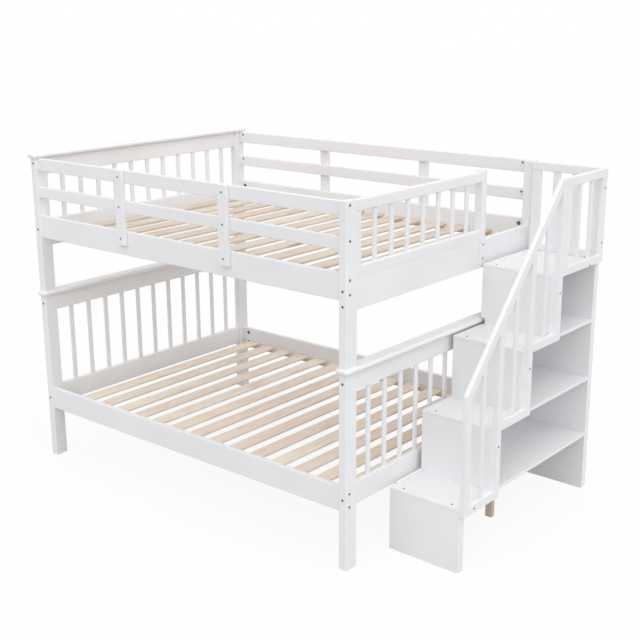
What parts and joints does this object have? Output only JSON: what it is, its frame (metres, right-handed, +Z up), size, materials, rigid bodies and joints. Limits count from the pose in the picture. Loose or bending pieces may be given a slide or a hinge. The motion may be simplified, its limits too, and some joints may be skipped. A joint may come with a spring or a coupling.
{
  "type": "bunk bed with storage stairs",
  "caption": "Wooden bunk bed with slatted ends, moulded end caps, guard rails and a railed flight of box stairs with open shelves at the foot end.",
  "frame": {"origin": "on the floor under the middle of the outline", "axes": "+X along the bed from the head to the stairs, +Y from the open long side to the wall side, +Z up"},
  "size_m": [2.4072, 1.502, 1.59],
  "materials": {
    "white_paint": "satin paint",
    "pine": "planed, unpainted",
    "raw_wood": "sawn, unpainted",
    "dark_steel": "dark plated"
  },
  "bodies": {
    "root": {"barrel_nuts": "dark_steel", "bolts": "dark_steel", "guard_mid_rail_far": "white_paint", "guard_mid_rail_near": "white_paint", "guard_top_rail_far": "white_paint", "guard_top_rail_near": "white_paint", "guard_uprights": "white_paint", "handrail_level": "white_paint", "handrail_sloped": "white_paint", "lower_bed_slats": "pine", "lower_foot_bottom_rail": "white_paint", "lower_foot_cap": "white_paint", "lower_foot_post_far": "white_paint", "lower_foot_post_near": "white_paint", "lower_foot_slats": "white_paint", "lower_foot_top_rail": "white_paint", "lower_head_bottom_rail": "white_paint", "lower_head_cap": "white_paint", "lower_head_post_far": "white_paint", "lower_head_post_near": "white_paint", "lower_head_slats": "white_paint", "lower_head_top_rail": "white_paint", "lower_side_rail_far": "white_paint", "lower_side_rail_near": "white_paint", "railing_balusters": "white_paint", "railing_bottom_rails": "white_paint", "railing_posts": "white_paint", "rear_guard_rails": "white_paint", "rear_guard_uprights": "white_paint", "screws": "dark_steel", "slat_ledgers": "pine", "stair_back_panel": "white_paint", "stair_board_1": "white_paint", "stair_board_2": "white_paint", "stair_board_3": "white_paint", "stair_link_sleeves": "dark_steel", "stair_riser_1": "white_paint", "stair_riser_2": "white_paint", "stair_riser_3": "white_paint", "stair_riser_4": "white_paint", "stair_side_panels": "white_paint", "stair_support_leg": "raw_wood", "stair_top_tread": "white_paint", "upper_bed_slats": "pine", "upper_foot_end_rail": "white_paint", "upper_foot_guard_post": "white_paint", "upper_foot_guard_rails": "white_paint", "upper_foot_guard_slats": "white_paint", "upper_foot_guard_stile": "white_paint", "upper_foot_post_far": "white_paint", "upper_foot_post_near": "white_paint", "upper_head_bottom_rail": "white_paint", "upper_head_cap": "white_paint", "upper_head_post_far": "white_paint", "upper_head_post_near": "white_paint", "upper_head_slats": "white_paint", "upper_head_top_rail": "white_paint", "upper_side_rail_far": "white_paint", "upper_side_rail_near": "white_paint"}
  },
  "joints": []
}
